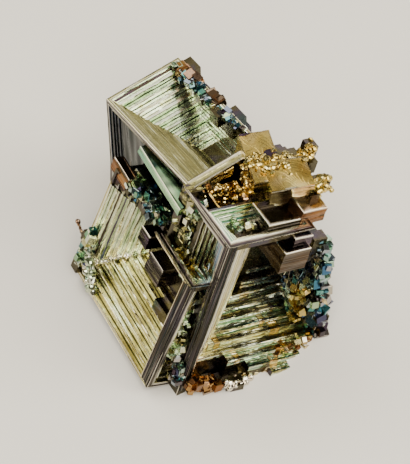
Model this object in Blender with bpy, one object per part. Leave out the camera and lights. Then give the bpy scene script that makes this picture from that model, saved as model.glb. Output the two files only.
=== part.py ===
"""Bismuth hopper crystal: a cluster of skeletal blocks grown together as one piece.

Every crystal is a rectangular block whose faces sink in steps towards their
middle, because its edges grew faster than its faces.  The blocks overlap, are
joined into one solid and rest on a flat base at z = 0.  Units are metres, +Z up.
"""
import math
import random
from typing import NamedTuple

import bmesh
import bpy
from mathutils import Matrix, Vector

MM = 0.001

# A frame turns a block about +Z, then leans its upright edge towards a heading (degrees).
LEFT_FRAME = (26.4, 20.1, 25.5)
RIGHT_FRAME = (29.6, 17.0, 30.9)
TOP_FRAME = (36.4, 1.6, -140.1)
GOLD_FRAME = (15.7, 7.0, -37.0)
REAR_FRAME = (36.4, 4.0, 70.0)

# Front-left-top corner of each large crystal, mm.
LEFT_CORNER = (-1.98, -14.26, 20.86)
RIGHT_CORNER = (3.4, -13.03, 28.22)
TOP_CORNER = (-1.86, -2.33, 27.7)

# Width, depth and height of each large crystal, mm.
LEFT_SIZE = (16.8, 23.8, 20.4)
RIGHT_SIZE = (14.4, 13.0, 32.0)
TOP_SIZE = (12.6, 20.3, 15.0)

CENTRE = Vector((-0.793, 2.947, 0.0))     # middle of the cluster's footprint, mm
BASE_CUT = (90.0, 30.0)                 # width and depth of the tool that levels the base, mm
SIDE_STEPS = 4                          # blocks that widen the tall crystal downwards
SIDE_FIRST_TOP = 5.0                    # first of them below the crystal's top, mm
SIDE_STEP_DOWN = 5.5
SIDE_FIRST_REACH = 16.9                 # its right side from the crystal's left side, mm
SIDE_STEP_OUT = 1.6
SIDE_WIDTH = 8.0
SIDE_DEPTH = 12.6
SIDE_FIRST_BACK = 0.15                  # its front behind the tall crystal's front, mm
SIDE_STEP_BACK = 0.25
SIDE_FOOT_ABOVE = 1.0                   # its foot above the tall crystal's, mm
SIDE_FOOT_STEP = 0.3

# Ledges across the tall crystal's front, from the top one down, in its own axes, mm:
# front behind the crystal's front, top below its top, left end and right end.
LEDGES = (
    (10.2, 13.4, 14.0, 20.6),
    (9.4, 14.8, 14.0, 21.6),
    (8.6, 16.2, 13.0, 22.2),
    (7.8, 17.5, 12.0, 22.6),
    (6.8, 18.8, 9.6, 22.4),
    (5.6, 19.8, 7.9, 22.3),
    (4.28, 20.5, 6.2, 22.5),
    (2.96, 21.2, 4.6, 22.2),
    (1.64, 21.9, 3.0, 22.4),
    (0.32, 22.6, 1.6, 22.0),
    (-1.0, 23.3, 6.2, 21.6),
    (-2.32, 24.0, 9.2, 20.2),
    (-3.64, 24.7, 12.6, 17.6),
)
LEDGE_BACK = 12.5                       # where every ledge ends behind the crystal's front, mm
LEDGE_HEIGHT = 14.0
SAME_POINT = 1e-6                       # vertices closer than this are one, m
CUT_CLEARANCE = 0.4                     # how far a carving tool stands out of the face, mm
BISMUTH_GOLD = (0.62, 0.55, 0.33, 1.0)


class Well(NamedTuple):
    """Stepped hollow in a block face; widths run along low u, high u, low v, high v."""
    rise: float
    steps: int
    treads: tuple
    rims: tuple


class Chain(NamedTuple):
    """Row of small cubes; its ends are along a crystal's own axes, or the cluster's if it has none."""
    name: str
    frame: tuple
    crystal: tuple
    start: tuple
    end: tuple
    count: int
    edge: float


ON_LEFT = (LEFT_CORNER, LEFT_FRAME)
ON_RIGHT = (RIGHT_CORNER, RIGHT_FRAME)
CHAINS = (
    Chain("top_rim", TOP_FRAME, (), (-2.6, 18.0, 27.6), (4.6, 7.6, 27.4), 7, 2.0),
    Chain("gold_crest", RIGHT_FRAME, (), (9.2, 4.0, 27.9), (13.2, 1.6, 27.3), 5, 1.9),
    Chain("gold_stalk", RIGHT_FRAME, (), (13.4, 0.2, 26.1), (14.6, 3.0, 30.1), 4, 1.5),
    Chain("gold_bud", RIGHT_FRAME, (), (14.4, -2.2, 26.5), (16.0, -0.6, 27.7), 3, 1.6),
    Chain("side_edge", RIGHT_FRAME, ON_RIGHT, (16.1, 0.9, -3.6), (20.9, 0.2, -22.6), 15, 2.3),
    Chain("side_wall", RIGHT_FRAME, ON_RIGHT, (16.7, 4.2, -5.6), (21.9, 3.4, -21.6), 10, 2.6),
    Chain("left_tip", LEFT_FRAME, ON_LEFT, (-0.9, 22.6, -13.0), (-0.9, 22.6, -18.0), 4, 1.4),
    Chain("broken_foot", GOLD_FRAME, (), (-2.4, -15.6, 1.6), (4.2, -16.6, 1.1), 7, 1.7),
    Chain("notch", LEFT_FRAME, ON_LEFT, (0.6, 21.0, -0.6), (3.6, 13.6, -1.4), 9, 1.5),
    Chain("notch_floor", LEFT_FRAME, ON_LEFT, (4.6, 18.6, -1.6), (5.0, 11.8, -1.8), 7, 1.2),
    Chain("olive", RIGHT_FRAME, ON_RIGHT, (0.2, 9.4, -0.4), (0.2, 8.2, -11.0), 9, 1.5),
    Chain("gap", RIGHT_FRAME, ON_RIGHT, (-1.4, 3.4, -12.0), (-1.9, 2.4, -22.4), 9, 1.3),
)


def crystal_matrix(corner, frame):
    """Place of a block: its front-left-top corner, and the directions right, back and up."""
    turn, lean, heading = (math.radians(angle) for angle in frame)
    axis = Vector((-math.sin(heading), math.cos(heading), 0.0))
    rotation = Matrix.Rotation(lean, 4, axis) @ Matrix.Rotation(turn, 4, "Z")
    return Matrix.Translation((Vector(corner) - CENTRE) * MM) @ rotation


def face_frames(width, depth, height):
    """Each face as origin, u edge, v edge and inward direction, in block coordinates."""
    right = Vector((width, 0.0, 0.0))
    back = Vector((0.0, depth, 0.0))
    down = Vector((0.0, 0.0, -height))
    zero = Vector((0.0, 0.0, 0.0))
    return {
        "top": (zero, right, back, down),
        "left": (zero, back, down, right),
        "front": (zero, right, down, back),
        "right": (right, back, down, -right),
        "back": (back, right, down, -back),
        "bottom": (down, right, back, -down),
    }


def well_levels(well, jitter):
    """Insets from the four edges and the depth, rim first, then riser and tread in turn."""
    insets = list(well.rims)
    depth = 0.0
    yield tuple(insets), depth
    for _ in range(well.steps):
        depth += well.rise
        yield tuple(insets), depth
        scale = 1.0 + jitter.uniform(-0.18, 0.18)
        insets = [inset + tread * scale for inset, tread in zip(insets, well.treads)]
        yield tuple(insets), depth


def face_ring(bm, face, insets, depth):
    """Four corners of a face, moved in from its edges and sunk below it."""
    origin, u_edge, v_edge, inward = face
    u, v, n = u_edge.normalized(), v_edge.normalized(), inward.normalized()
    u_low, u_high = insets[0], u_edge.length - insets[1]
    v_low, v_high = insets[2], v_edge.length - insets[3]
    corners = ((u_low, v_low), (u_high, v_low), (u_high, v_high), (u_low, v_high))
    return [bm.verts.new((origin + u * a + v * b + n * depth) * MM) for a, b in corners]


def face_corners(face, corners):
    """The four block corners round a face, in the same order as a ring."""
    origin, u_edge, v_edge, _ = face
    places = (origin, origin + u_edge, origin + u_edge + v_edge, origin + v_edge)
    return [corners[tuple(round(value, 3) for value in place)] for place in places]


def hopper_mesh(name, size, wells, seed):
    """Block of six faces; a face with a well steps down to a small floor."""
    bm = bmesh.new()
    jitter = random.Random(seed)
    width, depth, height = size
    corners = {(round(x, 3), round(y, 3), round(z, 3)): bm.verts.new(Vector((x, y, z)) * MM)
               for x in (0.0, width) for y in (0.0, depth) for z in (0.0, -height)}
    for side, face in face_frames(*size).items():
        rings = [face_corners(face, corners)]
        if side in wells:
            rings += [face_ring(bm, face, *level) for level in well_levels(wells[side], jitter)]
        for outer, inner in zip(rings, rings[1:]):
            for k in range(4):
                n = (k + 1) % 4
                bm.faces.new((outer[k], outer[n], inner[n], inner[k]))
        bm.faces.new(rings[-1])
    bmesh.ops.recalc_face_normals(bm, faces=bm.faces)
    mesh = bpy.data.meshes.new(name)
    bm.to_mesh(mesh)
    bm.free()
    return mesh


def offset_corner(corner, frame, offset):
    """Point given along a crystal's own axes from its corner, mm."""
    return (crystal_matrix(corner, frame) @ (Vector(offset) * MM)) / MM + CENTRE


def add_block(group, name, corner, frame, size, wells=None, seed=1):
    """One hopper block, linked into the group that its shape is joined or cut with."""
    return add_guide(group, name, corner, frame, hopper_mesh(name, size, wells or {}, seed))


def add_guide(group, name, corner, frame, mesh):
    """Object that only shapes the crystal and isn't part of it."""
    guide = bpy.data.objects.new(name, mesh)
    guide.matrix_world = crystal_matrix(corner, frame)
    guide.hide_render = True
    guide.display_type = "WIRE"
    group.objects.link(guide)
    return guide


def carve_well(group, name, corner, frame, size, side, well, seed):
    """Closed stepped plug that takes a funnel out of whatever fills it."""
    bm = bmesh.new()
    face = face_frames(*size)[side]
    levels = list(well_levels(well, random.Random(seed)))
    rings = [face_ring(bm, face, well.rims, -CUT_CLEARANCE)]
    rings += [face_ring(bm, face, *level) for level in levels[1:]]
    for outer, inner in zip(rings, rings[1:]):
        for k in range(4):
            n = (k + 1) % 4
            bm.faces.new((outer[k], outer[n], inner[n], inner[k]))
    bm.faces.new(rings[0])
    bm.faces.new(rings[-1])
    bmesh.ops.recalc_face_normals(bm, faces=bm.faces)
    mesh = bpy.data.meshes.new(name)
    bm.to_mesh(mesh)
    bm.free()
    add_guide(group, name, corner, frame, mesh)


def left_crystal():
    """Broad crystal: fine terraces on top and sunken faces in front, behind and below."""
    wells = {
        "top": Well(0.35, 5, (0.3, 0.5, 0.5, 0.5), (1.2, 0.8, 0.7, 0.8)),
        "front": Well(0.5, 6, (0.6, 0.6, 0.6, 0.6), (0.9, 0.7, 0.7, 0.7)),
        "back": Well(0.8, 5, (1.2, 0.9, 0.9, 0.9), (1.7, 1.0, 1.0, 1.0)),
        "bottom": Well(0.7, 4, (1.2, 1.0, 1.0, 1.0), (1.7, 0.9, 0.9, 0.9)),
    }
    crystal = bpy.data.objects.new("bismuth_crystal", hopper_mesh("bismuth_crystal", LEFT_SIZE, wells, 11))
    crystal.matrix_world = crystal_matrix(LEFT_CORNER, LEFT_FRAME)
    bpy.context.scene.collection.objects.link(crystal)
    return crystal


def right_crystal(group):
    """Tall crystal with a shallow tray on top and a sunken left face."""
    wells = {
        "left": Well(0.5, 4, (0.9, 0.5, 0.6, 0.8), (1.4, 6.3, 0.9, 21.0)),
        "right": Well(0.2, 3, (0.8, 0.8, 0.8, 0.8), (1.8, 0.8, 0.9, 0.8)),
        "top": Well(0.3, 6, (0.4, 0.35, 0.3, 0.35), (0.8, 0.8, 1.0, 5.9)),
    }
    add_block(group, "right_crystal", RIGHT_CORNER, RIGHT_FRAME, RIGHT_SIZE, wells, 23)


def top_crystal(group):
    """Long upright crystal that lies across the top of the cluster."""
    wells = {
        "left": Well(0.2, 4, (0.5, 0.5, 0.45, 0.45), (0.6, 0.6, 0.6, 0.6)),
        "back": Well(0.7, 4, (0.9, 0.9, 1.0, 0.9), (0.9, 0.9, 1.3, 0.9)),
    }
    add_block(group, "top_crystal", TOP_CORNER, TOP_FRAME, TOP_SIZE, wells, 37)


def rear_crystals(group):
    """Three upright blocks that stand behind the others and carry the top crystal."""
    side = Well(0.6, 5, (0.8, 0.8, 0.8, 0.8), (0.8, 0.8, 0.8, 0.8))
    low = Well(0.45, 4, (0.6, 0.6, 0.6, 0.6), (0.7, 0.7, 0.7, 0.7))
    tall = {"left": side, "back": side, "right": low}
    add_block(group, "rear_left", (-5.9, 6.4, 16.3), REAR_FRAME, (11.0, 13.0, 20.0), tall, 41)
    wide = {"right": side, "back": side, "top": low}
    add_block(group, "rear_middle", (3.0, 0.0, 19.3), REAR_FRAME, (11.0, 10.0, 24.0), wide, 43)
    foot = {"right": low, "back": low, "top": low}
    add_block(group, "rear_foot", (8.0, 2.0, 10.8), REAR_FRAME, (8.0, 9.0, 15.0), foot, 47)


def gold_blocks(group):
    """Slab and block stacked on the back of the right crystal."""
    panel = Well(0.2, 3, (0.4, 0.4, 0.4, 0.4), (0.5, 0.5, 0.5, 0.5))
    add_block(group, "gold_slab", (6.89, -2.22, 28.9), GOLD_FRAME, (4.4, 8.4, 9.0), {"right": panel}, 53)
    add_block(group, "gold_block", (9.2, -3.54, 28.7), GOLD_FRAME, (6.2, 5.0, 9.0), {"right": panel}, 59)


def rim_blocks(group):
    """Smaller crystals fused to the rims and ledges of the large ones."""
    pit = Well(0.35, 3, (0.35, 0.35, 0.35, 0.35), (0.4, 0.4, 0.4, 0.4))
    fine = Well(0.25, 2, (0.25, 0.25, 0.25, 0.25), (0.3, 0.3, 0.3, 0.3))
    add_block(group, "long_box", (8.9, -8.0, 26.9), RIGHT_FRAME, (7.6, 4.6, 4.0), {"top": pit}, 61)
    add_block(group, "step_cube", (12.5, -8.6, 24.7), RIGHT_FRAME, (2.9, 5.0, 3.4), {"top": fine}, 71)
    add_block(group, "side_prism", (13.6, -5.4, 26.5), RIGHT_FRAME, (4.0, 3.2, 2.4), {}, 73)


def side_steps(group):
    """Right side of the tall crystal, which widens downwards in broad steps."""
    ledge = Well(0.3, 2, (0.6, 0.6, 0.6, 0.6), (0.7, 0.7, 0.7, 0.7))
    for k in range(SIDE_STEPS):
        top = -SIDE_FIRST_TOP - SIDE_STEP_DOWN * k
        left = SIDE_FIRST_REACH + SIDE_STEP_OUT * k - SIDE_WIDTH
        front = SIDE_FIRST_BACK + SIDE_STEP_BACK * k
        corner = offset_corner(RIGHT_CORNER, RIGHT_FRAME, (left, front, top))
        height = RIGHT_SIZE[2] + top - SIDE_FOOT_ABOVE - SIDE_FOOT_STEP * k
        size = (SIDE_WIDTH, SIDE_DEPTH - 2 * SIDE_STEP_BACK * k, height)
        add_block(group, f"side_step_{k}", corner, RIGHT_FRAME, size, {"right": ledge}, 103 + k)


def front_ledges(group):
    """Ledges that step down and forward across the front, to an apron round the foot."""
    for k, (front, below, start, end) in enumerate(LEDGES):
        corner = offset_corner(RIGHT_CORNER, RIGHT_FRAME, (start, front, -below))
        size = (end - start, LEDGE_BACK - front, LEDGE_HEIGHT)
        add_block(group, f"ledge_{k}", corner, RIGHT_FRAME, size)


def hollow_spaces(group):
    """The three deep funnels, and the places where the growth broke open."""
    left = Well(0.88, 8, (0.45, 0.63, 0.57, 0.88), (1.9, 0.5, 0.3, 0.5))
    front = Well(0.78, 11, (0.98, 0.02, 0.4, 1.35), (1.3, -7.9, 0.7, 1.0))
    top = Well(0.9, 10, (0.88, 0.05, 0.35, 0.92), (0.45, 0.45, 1.5, 0.45))
    carve_well(group, "left_funnel", LEFT_CORNER, LEFT_FRAME, LEFT_SIZE, "left", left, 11)
    carve_well(group, "front_funnel", RIGHT_CORNER, RIGHT_FRAME, RIGHT_SIZE, "front", front, 23)
    carve_well(group, "top_funnel", TOP_CORNER, TOP_FRAME, TOP_SIZE, "top", top, 37)
    notch = offset_corner(LEFT_CORNER, LEFT_FRAME, (-1.0, 11.2, 2.0))
    add_block(group, "left_notch", notch, LEFT_FRAME, (7.4, 11.6, 5.0))
    olive = offset_corner(RIGHT_CORNER, RIGHT_FRAME, (-1.5, 7.6, 2.0))
    add_block(group, "olive_cavity", olive, RIGHT_FRAME, (4.4, 3.6, 14.0))
    amber = offset_corner(RIGHT_CORNER, RIGHT_FRAME, (2.6, 7.6, 2.0))
    add_block(group, "amber_cavity", amber, RIGHT_FRAME, (4.9, 3.8, 7.5))
    cave = offset_corner(TOP_CORNER, TOP_FRAME, (3.4, -2.0, -1.1))
    add_block(group, "amber_cave", cave, TOP_FRAME, (4.6, 3.2, 6.4))


def cube_chain(group, chain, start, end, seed):
    """Row of small cubes, each set a little off the line and a little larger or smaller."""
    jitter = random.Random(seed)
    first, last = Vector(start), Vector(end)
    for k in range(chain.count):
        edge = chain.edge * jitter.uniform(0.75, 1.25)
        drift = Vector([jitter.uniform(-0.3, 0.3) * chain.edge for _ in range(3)])
        corner = first.lerp(last, k / max(chain.count - 1, 1)) + drift
        extents = (edge, edge * jitter.uniform(0.8, 1.3), edge * jitter.uniform(1.0, 1.5))
        add_block(group, f"{chain.name}_{k}", corner, chain.frame, extents)


def late_crystals(group):
    """Small crystals that grew last, in the funnels, on broken rims and on the gold shoulder."""
    pit = Well(0.35, 3, (0.35, 0.35, 0.35, 0.35), (0.4, 0.4, 0.4, 0.4))
    fine = Well(0.25, 2, (0.25, 0.25, 0.25, 0.25), (0.3, 0.3, 0.3, 0.3))
    add_block(group, "green_plate", (-3.46, -3.98, 25.34), LEFT_FRAME, (4.0, 12.6, 1.1), {}, 79)
    add_block(group, "hanging_cube", (11.1, -10.4, 23.7), RIGHT_FRAME, (4.3, 5.6, 3.8),
              {"top": pit, "front": fine}, 67)
    add_block(group, "copper_bar", (-10.7, 4.4, 21.5), LEFT_FRAME, (1.5, 4.6, 2.0), {}, 83)
    add_block(group, "funnel_cube", (-5.95, -3.35, 10.4), LEFT_FRAME, (5.0, 3.9, 3.2), {}, 89)
    add_block(group, "funnel_chip", (-7.8, 1.05, 12.6), LEFT_FRAME, (5.0, 2.4, 2.4), {}, 97)
    for k, chain in enumerate(CHAINS):
        start, end = chain.start, chain.end
        if chain.crystal:
            corner, frame = chain.crystal
            start = offset_corner(corner, frame, start)
            end = offset_corner(corner, frame, end)
        cube_chain(group, chain, start, end, seed=5 + k)


def base_tool(group):
    """Block under the base plane."""
    span, depth = BASE_CUT
    corner = (CENTRE.x - span / 2, CENTRE.y - span / 2, 0.0)
    add_block(group, "base_level", corner, (0.0, 0.0, 0.0), (span, span, depth))


def keep_outer_shell(mesh):
    """Drop the closed inner voids, so that what was sealed in is solid metal."""
    bm = bmesh.new()
    bm.from_mesh(mesh)
    unseen = set(bm.verts)
    shells = []
    while unseen:
        stack = [unseen.pop()]
        shell = set(stack)
        while stack:
            for edge in stack.pop().link_edges:
                for vert in edge.verts:
                    if vert in unseen:
                        unseen.discard(vert)
                        shell.add(vert)
                        stack.append(vert)
        shells.append(shell)
    largest = max(shells, key=len)
    bmesh.ops.delete(bm, geom=[v for v in bm.verts if v not in largest], context="VERTS")
    bmesh.ops.dissolve_degenerate(bm, dist=SAME_POINT, edges=bm.edges)
    bm.to_mesh(mesh)
    bm.free()


def apply_booleans(crystal, stages):
    """Join and cut in turn, then keep the result as the crystal's own mesh."""
    for operation, group in stages:
        modifier = crystal.modifiers.new(group.name, "BOOLEAN")
        modifier.operation = operation
        modifier.operand_type = "COLLECTION"
        modifier.collection = group
    graph = bpy.context.evaluated_depsgraph_get()
    solid = bpy.data.meshes.new_from_object(crystal.evaluated_get(graph))
    crystal.modifiers.clear()
    crystal.data = solid
    keep_outer_shell(solid)


def bismuth_material():
    """Polished metal under a thin gold oxide film."""
    material = bpy.data.materials.new("bismuth_oxide_film")
    material.use_nodes = True
    shader = material.node_tree.nodes["Principled BSDF"]
    shader.inputs["Base Color"].default_value = BISMUTH_GOLD
    shader.inputs["Metallic"].default_value = 1.0
    shader.inputs["Roughness"].default_value = 0.28
    return material


def clear_scene():
    for item in list(bpy.data.objects):
        bpy.data.objects.remove(item, do_unlink=True)


def new_group(name, *makers):
    """Collection of guide blocks made by the given functions."""
    group = bpy.data.collections.new(name)
    bpy.context.scene.collection.children.link(group)
    for make in makers:
        make(group)
    return group


def main():
    clear_scene()
    crystal = left_crystal()
    stages = (
        ("UNION", new_group("large_crystals", right_crystal, top_crystal, rear_crystals,
                            gold_blocks, rim_blocks, side_steps)),
        ("DIFFERENCE", new_group("hollows", hollow_spaces)),
        ("UNION", new_group("late_crystals", late_crystals, front_ledges)),
        ("DIFFERENCE", new_group("base", base_tool)),
    )
    apply_booleans(crystal, stages)
    crystal.data.materials.clear()
    crystal.data.materials.append(bismuth_material())


main()
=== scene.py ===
"""Bismuth hopper crystal: terraced funnels, ledges and small crystals under a film of oxide."""
import math
import random
from typing import NamedTuple

import bmesh
import bpy
import numpy as np
from mathutils import Matrix, Vector


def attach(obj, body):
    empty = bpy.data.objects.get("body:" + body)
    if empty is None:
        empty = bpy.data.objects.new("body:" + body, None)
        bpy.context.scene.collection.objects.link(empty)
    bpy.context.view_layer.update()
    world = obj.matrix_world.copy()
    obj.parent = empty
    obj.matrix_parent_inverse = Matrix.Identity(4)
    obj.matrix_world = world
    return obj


MM = 0.001
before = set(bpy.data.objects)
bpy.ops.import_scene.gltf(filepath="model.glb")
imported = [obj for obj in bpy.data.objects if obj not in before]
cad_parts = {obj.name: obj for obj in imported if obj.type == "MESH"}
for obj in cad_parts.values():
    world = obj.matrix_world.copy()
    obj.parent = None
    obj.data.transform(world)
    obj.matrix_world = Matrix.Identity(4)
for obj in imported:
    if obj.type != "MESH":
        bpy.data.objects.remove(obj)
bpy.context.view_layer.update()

# --- where the crystals lie, as in the part -------------------------------------------------------
# A frame turns a crystal about +Z, then leans its upright edge towards a heading, degrees.

LEFT_FRAME = (26.4, 20.1, 25.5)
RIGHT_FRAME = (29.6, 17.0, 30.9)
TOP_FRAME = (36.4, 1.6, -140.1)
GOLD_FRAME = (15.7, 7.0, -37.0)
REAR_FRAME = (36.4, 4.0, 70.0)
CENTRE = np.array((-0.793, 2.947, 0.0))        # mm, taken off every place below
BASE_GAP = 0.02 * MM                           # skins end this far above the base plane
PROUD = 0.07                                   # mm that a skin stands off the solid


class Crystal(NamedTuple):
    """Block of growth: front-left-top corner, frame, width, depth and height in mm, and its seed."""
    corner: tuple
    angles: tuple
    size: tuple
    seed: int


LEFT = Crystal((-1.98, -14.26, 20.86), LEFT_FRAME, (16.8, 23.8, 20.4), 11)
RIGHT = Crystal((3.4, -13.03, 28.22), RIGHT_FRAME, (14.4, 13.0, 32.0), 23)
TOP = Crystal((-1.86, -2.33, 27.7), TOP_FRAME, (12.6, 20.3, 15.0), 37)
REAR_LEFT = Crystal((-5.9, 6.4, 16.3), REAR_FRAME, (11.0, 13.0, 20.0), 41)
REAR_MIDDLE = Crystal((3.0, 0.0, 19.3), REAR_FRAME, (11.0, 10.0, 24.0), 43)
REAR_FOOT = Crystal((8.0, 2.0, 10.8), REAR_FRAME, (8.0, 9.0, 15.0), 47)
GOLD_SLAB = Crystal((6.89, -2.22, 28.9), GOLD_FRAME, (4.4, 8.4, 9.0), 53)
GOLD_BLOCK = Crystal((9.2, -3.54, 28.7), GOLD_FRAME, (6.2, 5.0, 9.0), 59)
LONG_BOX = Crystal((8.9, -8.0, 26.9), RIGHT_FRAME, (7.6, 4.6, 4.0), 61)
HANGING_CUBE = Crystal((11.1, -10.4, 23.7), RIGHT_FRAME, (4.3, 5.6, 3.8), 67)
STEP_CUBE = Crystal((12.5, -8.6, 24.7), RIGHT_FRAME, (2.9, 5.0, 3.4), 71)
SIDE_PRISM = Crystal((13.6, -5.4, 26.5), RIGHT_FRAME, (4.0, 3.2, 2.4), 73)
GREEN_PLATE = Crystal((-3.46, -3.98, 25.34), LEFT_FRAME, (4.0, 12.6, 1.1), 79)
COPPER_BAR = Crystal((-10.7, 4.4, 21.5), LEFT_FRAME, (1.5, 4.6, 2.0), 83)
FUNNEL_CUBE = Crystal((-5.95, -3.35, 10.4), LEFT_FRAME, (5.0, 3.9, 3.2), 89)
FUNNEL_CHIP = Crystal((-7.8, 1.05, 12.6), LEFT_FRAME, (5.0, 2.4, 2.4), 97)

# Ledges across the tall crystal's front, from the top one down, in its own axes, mm:
# front behind the crystal's front, top below its top, left end and right end.
LEDGES = (
    (10.2, 13.4, 14.0, 20.6), (9.4, 14.8, 14.0, 21.6), (8.6, 16.2, 13.0, 22.2), (7.8, 17.5, 12.0, 22.6),
    (6.8, 18.8, 9.6, 22.4), (5.6, 19.8, 7.9, 22.3), (4.28, 20.5, 6.2, 22.5), (2.96, 21.2, 4.6, 22.2),
    (1.64, 21.9, 3.0, 22.4), (0.32, 22.6, 1.6, 22.0), (-1.0, 23.3, 6.2, 21.6), (-2.32, 24.0, 9.2, 20.2),
    (-3.64, 24.7, 12.6, 17.6))
UNDER_TRAY_LEDGES = 6                           # the first ones, under the tray, are painted brighter, to stand in for light that the tray blocks


def crystal_axes(angles):
    """Rows are the crystal's right, back and up directions: turn about +Z, then lean to the heading."""
    turn, lean, heading = (math.radians(a) for a in angles)
    axis = Vector((-math.sin(heading), math.cos(heading), 0.0))
    return np.array(Matrix.Rotation(lean, 3, axis) @ Matrix.Rotation(turn, 3, "Z")).T


def placed(points, crystal):
    """World metres = (corner + local mm . axes - centre) / 1000."""
    return (np.asarray(crystal.corner) + points @ crystal_axes(crystal.angles) - CENTRE) * MM


def face_frame(size, side):
    """Origin, u edge, v edge and inward direction of a block's face, in the block's own millimetres."""
    width, depth, height = size
    right, back, down = np.array((width, 0, 0)), np.array((0, depth, 0)), np.array((0, 0, -height))
    zero = np.zeros(3)
    return {"top": (zero, right, back, down), "left": (zero, back, down, right),
            "front": (zero, right, down, back), "right": (right, back, down, -right),
            "back": (back, right, down, -back)}[side]


# --- film colours by name -------------------------------------------------------------------------
# Places along the film's ramp of colours, from bare silver at 0 to the thickest, olive, at 1.

CREAM, GOLD, BRONZE, COPPER, RUST, UMBER, VIOLET = 0.07, 0.15, 0.22, 0.29, 0.34, 0.40, 0.52
BLUE, TEAL, GREEN, MINT, PALE_MINT, STRAW, OLIVE = 0.66, 0.75, 0.81, 0.87, 0.91, 0.95, 1.0


# --- surfaces -------------------------------------------------------------------------------------

class Shell(NamedTuple):
    """Closed surface: places in metres, faces, and the film and painted light of each vertex.

    Painted light above 0 is a painted highlight towards bright bare metal, and below 0 is painted shade, as
    in a groove.
    """
    points: np.ndarray
    faces: np.ndarray
    film: np.ndarray
    painted_light: np.ndarray


def ring_faces(count, width):
    """Triangles over a grid of rings, row r to r + 1 and column c to c + 1 mod width, and two end fans.

    Vertices run ring by ring, then the middle of the first ring and the middle of the last one.
    """
    r, c = np.meshgrid(np.arange(count - 1), np.arange(width), indexing="ij")
    n = (c + 1) % width
    a, b, d, e = r * width + c, r * width + n, (r + 1) * width + n, (r + 1) * width + c
    sides = np.concatenate([np.stack([a, b, d], -1).reshape(-1, 3), np.stack([a, d, e], -1).reshape(-1, 3)])
    k = np.arange(width)
    low = np.stack([np.full(width, count * width), (k + 1) % width, k], -1)
    top = (count - 1) * width
    high = np.stack([np.full(width, count * width + 1), top + k, top + (k + 1) % width], -1)
    return np.concatenate([sides, low, high])


def outwards(points, faces):
    """Faces turned so that the volume, the sum over faces of a . (b x c), is positive."""
    a, b, c = np.moveaxis(points[faces], 1, 0)
    return faces if np.einsum("ij,ij->i", a, np.cross(b, c)).sum() > 0 else faces[:, ::-1]


def ring_shell(rings, film, painted_light):
    """Closed shell of rings (R, C, 3) in metres, its ends closed by fans to their mean points."""
    def with_ends(values):
        """Values of every ring, then the means of the first ring and of the last one."""
        flat = values.reshape(-1, *values.shape[2:])
        return np.concatenate([flat, values[[0, -1]].mean(axis=1)])
    points = with_ends(rings)
    faces = outwards(points, ring_faces(*rings.shape[:2]))
    return Shell(points, faces, with_ends(film + 0 * rings[..., 0]), with_ends(painted_light + 0 * rings[..., 0]))


def trim_at_base(mesh):
    """Cuts off what would lie under the base plane, and closes every cut with a face."""
    work = bmesh.new()
    work.from_mesh(mesh)
    geometry = work.verts[:] + work.edges[:] + work.faces[:]
    cut = bmesh.ops.bisect_plane(work, geom=geometry, plane_co=(0, 0, BASE_GAP), plane_no=(0, 0, -1),
                                 clear_outer=True)["geom_cut"]
    edges = [item for item in cut if isinstance(item, bmesh.types.BMEdge)]
    bmesh.ops.edgeloop_fill(work, edges=edges)
    bmesh.ops.triangulate(work, faces=[face for face in work.faces if len(face.verts) > 4])
    work.to_mesh(mesh)
    work.free()


def piece(name, shells):
    """One object of several closed shells, with its film and painted light as attributes."""
    counts = np.cumsum([0] + [len(shell.points) for shell in shells[:-1]])
    points = np.concatenate([shell.points for shell in shells])
    faces = np.concatenate([shell.faces + first for shell, first in zip(shells, counts)])
    mesh = bpy.data.meshes.new(name)
    mesh.from_pydata(points.tolist(), [], faces.tolist())
    for label in ("film", "painted_light"):
        values = np.concatenate([getattr(shell, label) for shell in shells]).astype(np.float32)
        mesh.attributes.new(label, "FLOAT", "POINT").data.foreach_set("value", values)
    if points[:, 2].min() < BASE_GAP:
        trim_at_base(mesh)
    mesh.update()
    item = bpy.data.objects.new(name, mesh)
    bpy.context.scene.collection.objects.link(item)
    return item


WAVER_CYCLES = (1, 2, 3, 5, 8, 13, 21)
NOISE_WAVES = 8


def wavy(seed, rows, t, amplitude):
    """Sum of sines of t, with a phase and a weight of its own for each row, that fades at both ends."""
    rng = np.random.default_rng(seed)
    out = np.zeros((rows, len(t)))
    for cycles in WAVER_CYCLES:
        phase = rng.uniform(0, 2 * np.pi, (rows, 1))
        weight = rng.normal(0, 1, (rows, 1)) / cycles ** 0.7
        out += weight * np.sin(2 * np.pi * cycles * t + phase)
    return amplitude * out * np.clip(np.sin(np.pi * t) * 6.0, 0, 1)


def smooth_noise(a, b, seed, cells):
    """Sum of plane waves over (a, b), each of its own heading and phase, and of about cells a unit."""
    rng = np.random.default_rng(seed)
    out = np.zeros_like(a)
    for _ in range(NOISE_WAVES):
        heading, phase = rng.uniform(0, 2 * np.pi, 2)
        k = cells * rng.uniform(0.5, 1.5)
        out += np.sin(2 * np.pi * k * (np.cos(heading) * a + np.sin(heading) * b) + phase)
    return out / NOISE_WAVES ** 0.5


def terraces(values, steps):
    """Values cut into level steps, steps to each unit."""
    return np.floor(values * steps) / steps


# --- stairs ---------------------------------------------------------------------------------------

WALLS = ("low_u", "high_u", "low_v", "high_v")
TREAD_CHANGE = 0.18                            # share by which a level's tread is longer or shorter
GROOVE_END, TREAD_START, LIP = 0.08, 0.12, 0.02  # of a level's tread, on from a drop or short of one
LEVEL_WAVER, BRIM_WAVER = 0.02, 0.01           # mm
# Down a riser: the share of its drop, and the painted light there: a painted highlight on the lip at the top,
# painted shade at the foot.
RISER = ((0.04, 1.0), (0.14, 0.3), (0.3, 0.0), (0.76, 0.0), (0.86, -0.9), (1.0, -1.0))
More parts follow.
